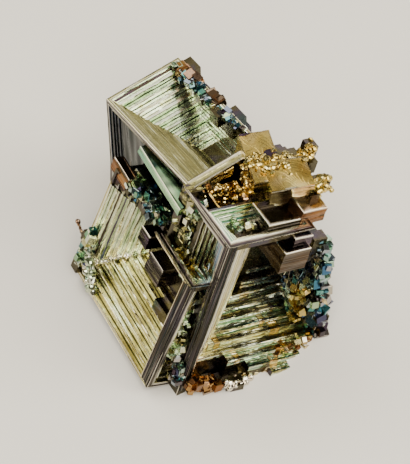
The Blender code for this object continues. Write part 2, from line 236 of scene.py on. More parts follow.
# Lines along a rim: how far in of its width, how many skins it stands off, and its painted light: painted
# highlights at its two edges, painted shade between.
BRIM_PLACE = np.array((0.04, 0.2, 0.24, 0.55, 0.6, 0.93))
BRIM_LIFT = np.array((0.8, 1.1, 0.5, 0.5, 1.1, 1.1))
BRIM_PAINTED_LIGHT = np.array((1.6, 0.4, -0.6, -0.1, 0.1, 1.4))
BRIM_LINES = len(BRIM_PLACE)
WIDEST_BRIM = 2.0                              # mm; the skin doesn't go over a wider rim
TUCK = 0.1                                     # mm beside the first tread that holds the lines there
BACKING = 0.35                                 # mm that the skin goes on behind its deepest line


class Well(NamedTuple):
    """Stepped hollow in a block face; widths run along low u, high u, low v, high v, mm."""
    rise: float
    steps: int
    treads: tuple
    rims: tuple


class Stair(NamedTuple):
    """Lines down a stair: treads travelled, risers dropped, share of tread film, painted light and level."""
    run: np.ndarray
    drop: np.ndarray
    flat: np.ndarray
    lip: np.ndarray
    level: np.ndarray


class Look(NamedTuple):
    """Fine detail of a stair wall."""
    seed: int = 1
    along: int = 70                            # stations along the wall
    fine: int = 4                              # small drops along each tread
    share: float = 0.3                         # part of a riser that the small drops take
    ripple: float = 0.012                      # waver of each line, mm
    crop: tuple = (0.0, 0.0)                   # left off at the two ends, mm
    brim: bool = True                          # the skin goes on over a narrow rim
    brim_film: float = 0.45
    spread: float = 0.03                       # change of film from level to level
    lines: float = 0.03                        # change of film from line to line
    light_jitter: float = 0.08                      # change of painted light from line to line
    dull: float = 0.0                          # taken off the painted light everywhere: above 0 paints the wall in shade, below 0 paints it brighter


def stair_lines(steps, jitter, fine, share):
    """Lines down a stair: every level drops (1 - share) of a riser at once, then the rest in fine drops.

    A level's tread is 1 long, give or take the change, and its fine drops are spread evenly along it.
    """
    rows = [(0.0, 0.0, 0.6, 0.3, 0)]
    run, drop = 0.0, 0.0
    for level in range(steps):
        length = 1.0 + jitter.uniform(-TREAD_CHANGE, TREAD_CHANGE)
        fall = 1 - share
        rows += [(run, drop + part * fall, 0.0, painted_light, level) for part, painted_light in RISER]
        for k in range(fine):
            a, b = run + length * k / fine, run + length * (k + 1) / fine
            low = drop + fall + share * k / fine
            last = k == fine - 1
            # The fourth value is painted light: painted shade in the groove after a level's drop and a little
            # at each fine drop, a painted highlight on each lip.
            rows += [(a + GROOVE_END * length, low, 1.0, -1.0 if k == 0 else 0.0, level),
                     (a + TREAD_START * length, low, 1.0, 0.0, level),
                     (b - LIP * length, low, 1.0, 1.0 if last else 0.4, level)]
            if not last:
                rows.append((b, low + 0.9 * share / fine, 0.7, -0.3, level))
        run += length
        drop += 1.0
    return Stair(*(np.array(column) for column in zip(*rows)))


def stair_film(stair, film, look, tau):
    """Film and painted light of the brim, the stair and the hidden lines, which waver along the wall.

    Film = tread film on a tread and riser film on a riser, plus a change for each level and each line.
    """
    rng = np.random.default_rng(look.seed + 7)
    count = len(stair.run)
    tint = (stair.flat * film[0] + (1 - stair.flat) * film[1])[:, None] + 0 * tau
    tint += rng.normal(0, look.spread, (stair.level[-1] + 1, 1))[stair.level]
    tint += rng.normal(0, look.lines, (count, 1)) + wavy(look.seed + 9, count, tau, 0.02)
    # Painted light of each line, less the wall's dull, with a waver and a random change from line to line.
    painted_light = (stair.lip[:, None] - look.dull + wavy(look.seed + 5, count, tau, 0.08)
            + rng.normal(0, look.light_jitter, (count, 1)))
    brim_tint = look.brim_film + wavy(look.seed + 6, BRIM_LINES, tau, 0.03)
    brim_painted_light = BRIM_PAINTED_LIGHT[:, None] + wavy(look.seed + 8, BRIM_LINES, tau, 0.2)
    tint = np.concatenate([brim_tint, tint])
    hidden = tint[[-1, -1, 0, 0]]
    return (np.concatenate([tint, hidden]).T,
            np.concatenate([brim_painted_light, painted_light, 0 * hidden]).T)


def stair_wall(crystal, side, wall, well, jitter, film, look):
    """One wall of a funnel: a stair profile carried along the wall, mitred at both ends.

    At line s it lies rim + tread * run(s) in from the face's edge and rise * drop(s) deep.
    It starts and ends on the neighbouring walls' own rim + tread * run(s), or short of them by the crop.
    Over the rim the skin goes on in the brim's lines, and four hidden lines close it behind.
    """
    origin, u_edge, v_edge, inward = face_frame(crystal.size, side)
    start, run, into, before, after = {
        "low_v": (origin, u_edge, v_edge, 0, 1),
        "high_u": (origin + u_edge, v_edge, -u_edge, 2, 3),
        "high_v": (origin + u_edge + v_edge, -u_edge, -v_edge, 1, 0),
        "low_u": (origin + v_edge, -v_edge, u_edge, 3, 2)}[wall]
    length = np.linalg.norm(run)
    run, into, down = run / length, into / np.linalg.norm(into), inward / np.linalg.norm(inward)
    rim, tread = well.rims[WALLS.index(wall)], well.treads[WALLS.index(wall)]
    stair = stair_lines(well.steps, jitter, look.fine, look.share)
    tau = np.linspace(0, 1, look.along)
    narrow = look.brim and rim < WIDEST_BRIM
    brim = BRIM_PLACE if narrow else 1 - TUCK * BRIM_PLACE[::-1] / rim
    inset = np.append(rim * brim, rim + tread * stair.run + PROUD)
    inset[BRIM_LINES] -= 2 * PROUD
    depth = np.append(-PROUD * BRIM_LIFT, well.rise * stair.drop - PROUD)
    low, high = (np.append(well.rims[end] * brim, well.rims[end] + well.treads[end] * stair.run) + cut
                 for end, cut in zip((before, after), look.crop))
    along = low[:, None] + (length - high - low)[:, None] * tau
    wave = wavy(look.seed, well.steps, tau, LEVEL_WAVER)[stair.level]
    wave += wavy(look.seed + 1, len(stair.run), tau, look.ripple)
    wave = np.concatenate([wavy(look.seed + 3, BRIM_LINES, tau, BRIM_WAVER), wave])
    front = (start + along[..., None] * run + (inset[:, None] + wave)[..., None] * into
             + depth[:, None, None] * down)
    behind = 0.12 + 0.15 * tread
    floor = depth[-1] + BACKING
    hidden = ((inset[-1], floor, -1), (inset[-1] - 1.2 * tread - behind, floor, -1),
              (inset[BRIM_LINES] - behind, 1.35 * well.rise + 0.1, BRIM_LINES), (inset[0] + 0.03, 0.15, 0))
    back = np.stack([start + along[row][:, None] * run + far * into + deep * down
                     for far, deep, row in hidden])
    rings = np.concatenate([front, back]).transpose(1, 0, 2)
    return ring_shell(placed(rings, crystal), *stair_film(stair, film, look, tau))


def funnel(name, crystal, side, well, films, look=Look(), skip=0, own=None):
    """Walls of one stepped hollow, each with its own tread and riser film and, by name, its own look.

    The part draws one random number for each level of a crystal's hollows; skip passes over the ones
    that went to its earlier hollows, so that these treads are as long as the part's.
    """
    shells = []
    for k, (wall, film) in enumerate(films.items()):
        jitter = random.Random(crystal.seed)
        for _ in range(skip):
            jitter.uniform(0, 1)
        wall_look = look._replace(seed=10 * crystal.seed + 17 * k, **(own or {}).get(wall, {}))
        shells.append(stair_wall(crystal, side, wall, well, jitter, film, wall_look))
    return piece(name, shells)


# --- panels and blocks ----------------------------------------------------------------------------

PANEL_DEPTH = 0.25                             # mm that a panel's back lies inside the solid
SIDE_LINES = 40                                # lines up the side of a small block
RIB = 0.05                                     # mm that its side steps in and out
EDGE_POINTS = 14                               # along each of its four edges
PIT_RIM = 0.3                                  # mm, round the pit or the lid on its top


def relief_panel(crystal, origin, u_edge, v_edge, height, film, painted_light, shape):
    """Thin closed slab whose front stands height(a, b) off a rectangle, for a and b from 0 to 1.

    Station a along the first edge is a ring: out along the front from b = 0 to 1, and back behind it.
    The front faces along u edge x v edge.
    """
    a, b = np.meshgrid(np.linspace(0, 1, shape[0]), np.linspace(0, 1, shape[1]), indexing="ij")
    u_edge, v_edge = np.array(u_edge, float), np.array(v_edge, float)
    normal = np.cross(u_edge, v_edge)
    normal /= np.linalg.norm(normal)
    flat = np.array(origin) + a[..., None] * u_edge + b[..., None] * v_edge
    front = flat + height(a, b)[..., None] * normal
    back = flat[:, ::-1] - PANEL_DEPTH * normal
    rings = np.concatenate([front, back], axis=1)
    tint, sheen_and_shade = (np.concatenate([values, values[:, ::-1]], axis=1)
                  for values in (film(a, b) + 0 * a, painted_light(a, b) + 0 * a))
    return ring_shell(placed(rings, crystal), tint, sheen_and_shade)


def clad_block(crystal, profile, film):
    """Growth skin over a small block: a rectangle's ring carried up a profile of (inset, height).

    The sides go up in fine ribs; each profile point after them is (inset, height above the top), mm.
    """
    width, depth, height = crystal.size
    rng = np.random.default_rng(crystal.seed)
    inset, z = np.array(profile, float).T
    side_z = np.linspace(-height - 0.02, -0.12, SIDE_LINES)
    ribs = np.repeat(rng.uniform(0, RIB, SIDE_LINES // 2), 2)
    inset = np.concatenate([ribs - PROUD, inset - PROUD])
    z = np.concatenate([side_z, z + PROUD])
    t = np.linspace(0, 1, EDGE_POINTS, endpoint=False)
    x0, x1, y0, y1 = inset, width - inset, inset, depth - inset
    one = np.ones_like(t)
    x = np.concatenate([np.outer(x0, one) + np.outer(x1 - x0, t), np.outer(x1, one),
                        np.outer(x1, one) + np.outer(x0 - x1, t), np.outer(x0, one)], 1)
    y = np.concatenate([np.outer(y0, one), np.outer(y0, one) + np.outer(y1 - y0, t), np.outer(y1, one),
                        np.outer(y1, one) + np.outer(y0 - y1, t)], 1)
    count, around = x.shape
    line = np.arange(count)
    wobble = 0.03 * smooth_noise(*np.meshgrid(z, np.linspace(0, 3, around), indexing="ij"),
                                 crystal.seed, 0.8)
    rings = np.stack([x + wobble, y - wobble, z[:, None] + 0 * x], -1)
    clouds = smooth_noise(*np.meshgrid(z / 3, np.linspace(0, 4, around), indexing="ij"),
                          crystal.seed + 1, 0.7)
    tint = film + rng.normal(0, 0.012, (count, 1)) + 0.02 * clouds
    # Painted light: random on the sides and top, and a painted highlight along the edge where the sides meet
    # the top.
    painted_light = np.where(line < SIDE_LINES, rng.normal(0, 0.15, count), rng.uniform(-0.4, 0.9, count))
    painted_light += np.where(abs(line - SIDE_LINES) <= 1, 0.9, 0.0)
    return ring_shell(placed(rings, crystal), tint, painted_light[:, None])


def pit_profile(levels, step, sink):
    """Rim, then levels of a riser of height sink and a tread of width step, towards a small floor."""
    points = [(0.05, -0.05), (0.1, 0.0), (PIT_RIM, 0.0)]
    for k in range(levels):
        points += [(PIT_RIM + step * k + 0.02, -sink * (k + 1)), (PIT_RIM + step * (k + 1), -sink * (k + 1))]
    return points


# --- small forms in large numbers -----------------------------------------------------------------

STRETCH = 0.35                                 # share by which each side of a small form is off its size


class Grain(NamedTuple):
    """How the forms of one patch differ: tilt in degrees, change of film and range of painted light."""
    tilt: float
    film_spread: float
    sheen_and_shade: tuple


def pit_cube():
    """Small hopper cube about its middle: a square ring carried up a profile of (half width, height).

    The profile goes up the side, over the rim and down two steps of the pit on top.
    """
    profile = np.array(((0.44, -0.5), (0.5, -0.46), (0.5, 0.44), (0.47, 0.5), (0.36, 0.5), (0.34, 0.38),
                        (0.24, 0.38), (0.22, 0.24), (0.02, 0.22)))
    square = np.array(((-1, -1), (1, -1), (1, 1), (-1, 1)), float)
    return np.concatenate([profile[:, None, :1] * square, np.repeat(profile[:, None, 1:], 4, 1)], -1)


def nodule(rows=7, around=10):
    """Ball about its middle, radius 0.5: circles sin(a) wide at height cos(a), without its two poles."""
    a = np.linspace(0.25, np.pi - 0.25, rows)[::-1, None]
    b = np.linspace(0, 2 * np.pi, around, endpoint=False)[None]
    return 0.5 * np.stack([np.sin(a) * np.cos(b), np.sin(a) * np.sin(b), np.cos(a) + 0 * b], -1)


def scattered(unit, centres, sizes, crystal, film, seed, grain):
    """Shell of many copies of one small form, each turned, tilted and stretched a little."""
    rng = np.random.default_rng(seed)
    count = len(centres)
    scale = np.asarray(sizes)[:, None] * (1 + rng.uniform(-STRETCH, STRETCH, (count, 3)))
    spin = np.radians(rng.normal(0, grain.tilt, (count, 3)))
    turn = rng.integers(0, 3, count)[:, None, None, None]
    points = unit[None] * scale[:, None, None]
    points = np.where(turn == 1, points[..., [2, 0, 1]], points)
    points = np.where(turn == 2, points[..., [1, 2, 0]], points)
    points = points + np.cross(spin[:, None, None], points) + np.asarray(centres)[:, None, None]
    world = placed(points, crystal)
    ends = world[:, [0, -1]].mean(axis=2)
    vertices = np.concatenate([world.reshape(count, -1, 3), ends], axis=1)
    each = vertices.shape[1]
    faces = outwards(vertices[0], ring_faces(*unit.shape[:2]))
    faces = (faces[None] + each * np.arange(count)[:, None, None]).reshape(-1, 3)
    tint = np.repeat(film + rng.normal(0, grain.film_spread, count), each)
    painted_light = np.repeat(rng.uniform(*grain.sheen_and_shade, count), each)
    return Shell(vertices.reshape(-1, 3), faces, tint, painted_light)


def along_line(start, end, count, spread, seed):
    """Points from start to end, each off the line by a normal spread, mm."""
    rng = np.random.default_rng(seed)
    t = rng.uniform(0, 1, (count, 1))
    return np.array(start) * (1 - t) + np.array(end) * t + rng.normal(0, 1, (count, 3)) * np.array(spread)


# --- the funnels ----------------------------------------------------------------------------------

# Films of the tread and the riser on each wall.
RINGED = {"low_v": (STRAW, MINT), "high_u": (TEAL, BLUE), "high_v": (GREEN, MINT),
          "low_u": (GREEN, PALE_MINT)}
DARK = {"low_v": (UMBER, VIOLET), "high_u": (VIOLET, 0.58), "high_v": (UMBER, COPPER),
        "low_u": (UMBER, 0.45)}
GILT = {"low_v": (GOLD, CREAM), "high_u": (BRONZE, GOLD), "high_v": (BRONZE, GOLD),
        "low_u": (GOLD, 0.1)}
MURKY = {"low_v": (OLIVE, UMBER), "high_u": (OLIVE, 0.44), "high_v": (GREEN, UMBER),
         "low_u": (0.62, UMBER)}


def large_funnels():
    """The three deep funnels; the front one has its left wall alone, with ledges for its other steps."""
    left = Well(0.88, 8, (0.45, 0.63, 0.57, 0.88), (1.9, 0.5, 0.3, 0.5))
    front = Well(0.78, 11, (0.98, 0.02, 0.4, 1.35), (1.3, -7.9, 0.7, 1.0))
    top = Well(0.9, 10, (0.88, 0.05, 0.35, 0.92), (0.45, 0.45, 1.5, 0.45))
    broad = Look(lines=0.012, spread=0.02, fine=2, share=0.14)
    return [
        funnel("left_funnel", LEFT, "left", left,
               {"high_u": (0.895, 0.885), "high_v": (STRAW, 0.965), "low_u": (UMBER, UMBER),
                "low_v": (0.45, 0.45)},
               broad._replace(along=90, ripple=0.007, brim_film=0.08),
               # The upper wall (high_u) is painted brighter: its dull of -0.6 lays a painted highlight over
               # the whole wall.
               own={"low_v": {"crop": (0.0, 12.8)}, "low_u": {"brim": False},
                    "high_u": {"crop": (2.6, 0.0), "dull": -0.6}}),
        funnel("front_left_wall", RIGHT, "front", front, {"low_u": (0.03, 0.05)},
               Look(fine=8, along=90, crop=(3.2, 0.0), brim=False, light_jitter=0.5, ripple=0.03)),
        funnel("top_funnel", TOP, "top", top,
               {"high_v": (0.9, 0.88), "low_u": (0.98, 0.99), "high_u": (MINT, PALE_MINT),
                "low_v": (OLIVE, STRAW)},
               broad._replace(along=80, brim_film=0.97),
               # The left wall (low_u) is darkened towards the painted shade by its dull of 0.45.
               own={"low_u": {"fine": 6, "light_jitter": 0.15, "dull": 0.45}}),
    ]


def shallow_faces():
    """Terraced faces of the large blocks, in order: tops, sides and the ones behind."""
    side = Well(0.6, 5, (0.8,) * 4, (0.8,) * 4)
    low = Well(0.45, 4, (0.6,) * 4, (0.7,) * 4)
    look = Look(along=40, lines=0.06, fine=3)
    table = (
        ("tray", RIGHT, "top", Well(0.3, 6, (0.4, 0.35, 0.3, 0.35), (0.8, 0.8, 1.0, 5.9)), RINGED, 0),
        ("tall_left_face", RIGHT, "left", Well(0.5, 4, (0.9, 0.5, 0.6, 0.8), (1.4, 6.3, 0.9, 21.0)),
         MURKY, 6),
        ("upper_left_face", TOP, "left", Well(0.2, 4, (0.5, 0.5, 0.45, 0.45), (0.6,) * 4), DARK, 0),
        ("upper_back_face", TOP, "back", Well(0.7, 4, (0.9, 0.9, 1.0, 0.9), (0.9, 0.9, 1.3, 0.9)),
         GILT, 4),
        ("broad_front_face", LEFT, "front", Well(0.5, 6, (0.6,) * 4, (0.9, 0.7, 0.7, 0.7)),
         {"low_u": (STRAW, PALE_MINT), "high_v": (OLIVE, STRAW)}, 5),
        ("broad_back_face", LEFT, "back", Well(0.8, 5, (1.2, 0.9, 0.9, 0.9), (1.7, 1.0, 1.0, 1.0)),
         RINGED, 11),
        ("rear_left_outer", REAR_LEFT, "left", side, RINGED, 0),
        ("rear_left_back", REAR_LEFT, "back", side, GILT, 9),
        ("rear_left_side", REAR_LEFT, "right", low, RINGED, 5),
        ("rear_middle_top", REAR_MIDDLE, "top", low, GILT, 0),
        ("rear_foot_top", REAR_FOOT, "top", low, RINGED, 0),
        ("rear_middle_side", REAR_MIDDLE, "right", side, GILT, 4),
        ("rear_middle_back", REAR_MIDDLE, "back", side, RINGED, 9),
        ("rear_foot_side", REAR_FOOT, "right", low, RINGED, 4),
        ("rear_foot_back", REAR_FOOT, "back", low, DARK, 8),
    )
    unlit = look._replace(dull=1.1)
    pieces = [funnel(name, crystal, face, well, films, unlit if films is DARK else look, skip)
              for name, crystal, face, well, films, skip in table]
    nested = Well(0.35, 5, (0.3, 0.5, 0.5, 0.5), (1.2, 0.8, 0.7, 0.8))
    pieces.append(funnel("nested_corner", LEFT, "top", nested,
                         {"low_u": (TEAL, MINT), "low_v": (MINT, TEAL)}, Look(fine=2, along=50, lines=0.1),
                         own={"low_u": {"crop": (12.7, 0.0)}, "low_v": {"crop": (0.0, 11.5)}}))
    return pieces


# --- ledges across the front ----------------------------------------------------------------------

LEDGE_STATIONS = 110
LEDGE_TOP, LEDGE_FRONT = 9, 7                  # lines over a ledge's top and down its front
LEDGE_FILM = 0.94                              # middle of its pale films; patches go back to gold


def ledge_skin(k):
    """Growth skin along one ledge: top in fine drops, round lip, and a front in fine ribs.

    The profile (forward, down) is carried along the ledge with a wave of its own for each line.
    """
    front, below, start, end = LEDGES[k]
    under_tray = k < UNDER_TRAY_LEDGES
    rng = np.random.default_rng(70 + k)
    back = LEDGES[k - 1][0] if k else front + 1.2
    foot = LEDGES[k + 1][1] if k + 1 < len(LEDGES) else below + 1.6
    foot = max(foot, below + 0.7) + 0.1
    across, down = np.linspace(0, 1, LEDGE_TOP), np.linspace(0, 1, LEDGE_FRONT)
    fall = np.repeat(np.cumsum(rng.uniform(0, 0.05, (LEDGE_TOP + 1) // 2)), 2)[:LEDGE_TOP]
    bulge = rng.uniform(-0.06, 0.05, LEDGE_FRONT) * (2 if under_tray else 1)
    y = np.concatenate([back + (front - back) * across - PROUD * (across == 1), front - PROUD + bulge,
                        (front + 0.2, back)])
    z = np.concatenate([-below + PROUD - 0.4 * fall, -below + (below - foot) * down - 0.06,
                        (-foot, -below - 0.3)])
    x = np.linspace(start + 0.05, end - rng.uniform(0.0, 0.5), LEDGE_STATIONS)
    t = np.linspace(0, 1, LEDGE_STATIONS)
    wave = wavy(90 + k, len(z), t, 0.03)
    rings = np.stack(np.broadcast_arrays(x, y[:, None] - wave, z[:, None] + 0.5 * wave), -1)
    # Under the tray the films are paler: painted light that stands in for the light the tray blocks.
    films = (STRAW, PALE_MINT, 0.89, CREAM, MINT, STRAW) if under_tray else (
        OLIVE, STRAW, MINT, PALE_MINT, TEAL, STRAW)
    shade = np.array(films)[rng.integers(0, len(films), len(z))]
    gilded_here = smooth_noise(t * (end - start), 0 * t + k, 130 + k, 0.22) > 0.75
    gilding = np.where(gilded_here, GOLD - LEDGE_FILM, 0.0)
    tint = shade[:, None] + 0 * wave + gilding + wavy(150 + k, len(z), t, 0.03)
    # Painted light: random on the top, painted brighter on the front under the tray and a little shaded
    # elsewhere, and the last top line, the lip, gets a painted highlight.
    painted_light = np.where(np.arange(len(z)) < LEDGE_TOP, 0.3 * rng.uniform(-1, 1, len(z)),
                    0.25 if under_tray else -0.1)
    painted_light[LEDGE_TOP - 1] = 0.9
    return ring_shell(placed(rings.transpose(1, 0, 2), RIGHT), tint.T, painted_light[None, :])


def front_ledges():
    """Skins of all the ledges, as one piece."""
    return [piece("front_ledges", [ledge_skin(k) for k in range(len(LEDGES))])]


# --- relief on flat faces -------------------------------------------------------------------------
# Each gives a function of a and b, a along the panel's first edge and b along its second, from 0 to 1.

def lined(amount, seed, lines=6):
    """Height of long ridges, which run with a and change quickly with b."""
    return lambda a, b: PROUD + amount * smooth_noise(0.15 * a, b, seed, lines)


def rough(amount, seed):
    """Height of broken growth in steps, three to a unit of noise."""
    return lambda a, b: PROUD + amount * terraces(0.6 * smooth_noise(a, b, seed, 2.5), 3)


def leaning(teeth, tall):
    """Height of a sawtooth, as of thin sheets that lean on each other."""
    return lambda a, b: PROUD + tall * ((teeth * a + 0.1 * smooth_noise(a, b, 5, 1.0)) % 1.0)


def plated(seed):
    """Height of a board of oblong plates, raised by turns, with fine steps on them."""
    def height(a, b):
        """Skin, plus 0.05 mm on every other plate, plus 0.05 mm of stepped noise."""
        raised = 0.5 + 0.5 * np.sign(np.sin(9 * a + seed)) * np.sign(np.sin(11 * b + 3 * a.round(1)))
        return PROUD + 0.05 * raised + 0.05 * terraces(smooth_noise(0.3 * a, b, seed, 5), 3)
    return height


def gilded(a, b):
    """Height of low winding terraces, six to a unit of noise."""
    return PROUD + 0.12 * terraces(0.5 + 0.5 * smooth_noise(a, b, 3, 1.0), 6)


def clouded(middle, amount, seed, cells=1.5):
    """Film or painted light in clouds round a middle value."""
    return lambda a, b: middle + amount * smooth_noise(a, b, seed, cells)


def streaked(middle, amount, seed, lines=5):
    """Painted light or film in streaks that run with a."""
    return lambda a, b: middle + amount * smooth_noise(0.12 * a, b, seed, lines)


def violet_spots(a, b):
    """Gold film with a few patches past violet."""
    return GOLD + np.where(smooth_noise(a, b, 36, 1.0) > 0.9, 0.36, 0.01)


def panels():
    """Bars with lines along them, folded faces, gold terraces and rough hollows."""
    # The second function of each pair below is painted light: shine, faint, cloudy, unlit and dim lay streaks
    # of painted highlight over painted shade, and even lays random clouds of it.
    bar, shine = clouded(0.45, 0.03, 31), streaked(-0.5, 0.6, 51)
    folds, faint = clouded(OLIVE, 0.03, 32), streaked(-0.35, 0.4, 52)
    gold, even = clouded(0.16, 0.02, 33), clouded(0.0, 0.2, 53)
    amber = clouded(0.19, 0.03, 35, 3)
    deep, cloudy = clouded(0.5, 0.12, 39, 1.2), streaked(-0.2, 0.35, 56, 8)
    olive, green = clouded(0.97, 0.04, 37, 3), clouded(0.8, 0.02, 38)
    unlit, dim = streaked(-0.9, 0.2, 54, 9), streaked(-0.9, 0.25, 55)
    table = (
        ("tall_ridge", RIGHT, (1.25, 0, -28.5), (0, 0, 28.5), (-1.25, 0, 0), lined(0.05, 41), bar, shine,
         (90, 14)),
        ("tall_ridge_side", RIGHT, (0, 0, -28.5), (0, 0, 28.5), (0, 1.35, 0), lined(0.05, 42), bar, shine,
         (90, 14)),
        ("near_bar", LEFT, (0, 0, -20.0), (0, 0, 20.0), (0, 1.85, 0), lined(0.06, 43), bar, shine, (70, 18)),
        ("near_bar_front", LEFT, (0.85, 0, -20.0), (0, 0, 20.0), (-0.85, 0, 0), lined(0.04, 44), bar, shine,
         (70, 10)),
        ("folded_front", TOP, (3.3, 0, -7.5), (0, 0, 7.5), (-3.3, 0, 0), lined(0.12, 45, 3), folds, faint,
         (40, 40)),
        ("dark_side", TOP, (0.8, 2.4, -14.4), (0, 0, 12.2), (0, 15.8, 0), lined(0.06, 46, 9), bar, unlit,
         (40, 120)),
        ("top_side", TOP, (12.6, 4.6, -14.6), (0, 15.6, 0), (0, 0, 14.0), plated(61), deep, cloudy,
         (120, 100)),
        ("top_edge", TOP, (0, 0, -7.4), (0, 0, 7.3), (0, 2.2, 0), lined(0.06, 62), folds, faint, (50, 16)),
        ("plate_face", GREEN_PLATE, (0.1, 0.1, 0.0), (3.8, 0, 0), (0, 12.4, 0), leaning(7, 0.32), green,
         dim, (112, 50)),
        ("gold_face", GOLD_BLOCK, (0, 0, 0), (6.2, 0, 0), (0, 5.0, 0), gilded, gold, even, (70, 70)),
        ("slab_face", GOLD_SLAB, (0, 0, 0), (4.4, 0, 0), (0, 8.4, 0), gilded, violet_spots, even, (60, 90)),
        ("amber_front", TOP, (5.6, 1.2, -6.5), (0, 0, 4.6), (-2.2, 0, 0), rough(0.3, 49), amber, even,
         (50, 30)),
        ("amber_brow", TOP, (7.2, 0, -1.9), (0, 0, 1.8), (-3.8, 0, 0), rough(0.2, 50), amber, even,
         (24, 50)),
        ("amber_floor", RIGHT, (2.95, 7.6, -5.45), (4.55, 0, 0), (0, 3.8, 0), rough(0.4, 47), amber, even,
         (50, 50)),
        ("amber_back", RIGHT, (7.5, 11.4, -5.45), (0, 0, 5.4), (-4.55, 0, 0), rough(0.35, 66), amber, even,
         (60, 50)),
        ("amber_left", RIGHT, (2.95, 7.6, -5.45), (0, 3.8, 0), (0, 0, 5.4), rough(0.2, 67), amber, even,
         (40, 50)),
        ("amber_right", RIGHT, (7.5, 7.6, -5.45), (0, 0, 5.4), (0, 3.8, 0), rough(0.35, 68), amber, even,
         (50, 40)),
        ("back_corner", RIGHT, (0, 9.6, -3.6), (0, 0, 3.5), (0, 3.3, 0), rough(0.15, 69), folds, faint,
         (40, 40)),
        ("back_corner_top", RIGHT, (0, 11.4, 0), (3.0, 0, 0), (0, 1.5, 0), rough(0.12, 70), folds, faint,
         (40, 20)),
        ("olive_wall", RIGHT, (2.9, 7.6, -12.2), (0, 0, 5.8), (0, 3.8, 0), rough(0.4, 48), olive, even,
         (60, 50)),
    )
    return [piece(name, [relief_panel(*row)]) for name, *row in table]


def clad_blocks():
    """Skins of the plate, bars, cubes, slab and block, in place over their solids."""
    pit = pit_profile(3, 0.4, 0.35)
    lid = pit_profile(4, 0.3, 0.06)
    low_lid = lid[:5]
    table = (
        ("green_plate", GREEN_PLATE, lid, GREEN), ("hanging_cube", HANGING_CUBE, pit, 0.38),
        ("copper_bar", COPPER_BAR, low_lid, COPPER), ("funnel_cube", FUNNEL_CUBE, pit, 0.46),
        ("funnel_chip", FUNNEL_CHIP, low_lid, 0.46), ("gold_slab", GOLD_SLAB, lid, 0.16),
        ("gold_block", GOLD_BLOCK, lid, 0.97), ("long_box", LONG_BOX, pit, 0.45),
        ("step_cube", STEP_CUBE, pit, 0.5), ("side_prism", SIDE_PRISM, low_lid, 0.3),
    )
    return [piece(name, [clad_block(crystal, profile, film)]) for name, crystal, profile, film in table]


# --- small crystals -------------------------------------------------------------------------------

MIXED = Grain(13.0, 0.12, (-0.3, 0.8))         # jumbled, in many colours
ALIKE = Grain(13.0, 0.02, (-0.5, 0.3))         # jumbled, in one colour
IN_ROW = Grain(6.0, 0.02, (-0.5, 0.3))         # nearly in line, in one colour
BEAD_TILT = 7.0


def crystallites():
    """Patches of small hopper cubes along lines.

    Each row: name, crystal, start, end, count, spread, least and greatest size, film and grain.
    """
    table = (
        ("notch_cubes", LEFT, (1.5, 21.4, 0.0), (4.5, 14.0, -1.6), 130, (0.8, 0.8, 0.3), 0.45, 1.1, 0.8,
         MIXED),
        ("sparkling_cubes", LEFT, (5.0, 18.0, -1.9), (6.6, 12.0, -2.4), 70, (0.6, 0.6, 0.3), 0.4, 0.9, 0.5,
         MIXED),
        ("olive_cubes", RIGHT, (0.9, 9.5, -0.6), (0.9, 8.6, -12.0), 130, (0.7, 1.0, 0.5), 0.4, 1.0, 0.96,
         MIXED),
        # The gap's cubes get a pale mint film, partly their own colour and partly painted brighter to stand
        # in for light that hardly reaches the deep gap.
        ("gap_cubes", RIGHT, (-0.9, 3.4, -12.5), (-1.4, 2.4, -23.0), 130, (0.4, 0.5, 0.4), 0.4, 0.9, 0.92,
         MIXED),
        ("side_cubes", RIGHT, (17.6, 0.9, -4.6), (22.0, 0.4, -23.2), 230, (0.6, 0.8, 0.5), 0.4, 1.3, 0.64,
         MIXED),
        ("inner_side_cubes", RIGHT, (18.2, 4.0, -6.4), (22.6, 3.4, -22.0), 120, (0.6, 0.6, 0.4), 0.4, 1.1,
         0.8, MIXED),
        ("inner_wall_cubes", RIGHT, (17.4, 3.0, -11.5), (18.9, 4.2, -19.5), 220, (0.3, 1.3, 0.9), 0.4, 1.1,
         0.63, MIXED),
        ("inner_wall_gold", RIGHT, (17.2, 1.7, -13.5), (18.9, 2.0, -21.0), 80, (0.3, 0.7, 0.7), 0.4, 0.9,
         0.14, ALIKE),
        ("rim_cubes", TOP, (11.4, 18.2, -0.3), (11.9, 5.0, -0.3), 110, (0.3, 0.8, 0.3), 0.35, 0.95, 0.7,
         MIXED),
        ("copper_rim", TOP, (12.1, 18.7, -0.3), (12.3, 15.2, -0.4), 16, (0.15, 0.3, 0.15), 0.9, 1.5, COPPER,
         IN_ROW),
        ("red_rim", TOP, (12.3, 12.8, -0.4), (12.4, 10.4, -0.5), 12, (0.15, 0.3, 0.15), 0.9, 1.5, RUST,
         IN_ROW),
        ("tip_cubes", LEFT, (-0.2, 22.8, -12.6), (0.2, 22.9, -17.6), 60, (0.45, 0.4, 0.5), 0.4, 1.1, 0.82,
         MIXED),
        ("tray_cubes", RIGHT, (2.5, 5.0, -1.4), (8.0, 6.4, -1.6), 60, (0.8, 0.9, 0.2), 0.35, 0.8, 0.92,
         MIXED),
        ("gap_mint", RIGHT, (-0.5, 2.4, -20.4), (-1.3, 2.0, -22.4), 50, (0.35, 0.4, 0.4), 0.4, 0.8, 0.83,
         MIXED),
        ("gap_blue", RIGHT, (-0.4, 1.2, -24.0), (-0.7, 0.6, -26.6), 50, (0.3, 0.4, 0.4), 0.5, 1.0, 0.62,
         MIXED),
        ("broken_copper", RIGHT, (1.2, -0.5, -27.2), (4.8, -1.5, -27.0), 50, (0.4, 0.35, 0.4), 0.5, 1.2,
         COPPER, ALIKE),
        ("foot_cubes", RIGHT, (9.0, -1.6, -26.2), (20.5, -0.6, -22.6), 70, (0.6, 0.5, 0.4), 0.4, 1.1, 0.16,
         MIXED),
    )
    pieces = []
    for k, (name, crystal, start, end, count, spread, small, large, film, grain) in enumerate(table):
        centres = along_line(start, end, count, spread, 200 + k)
        sizes = np.random.default_rng(300 + k).uniform(small, large, count)
        pieces.append(piece(name, [scattered(pit_cube(), centres, sizes, crystal, film, 400 + k, grain)]))
    return pieces


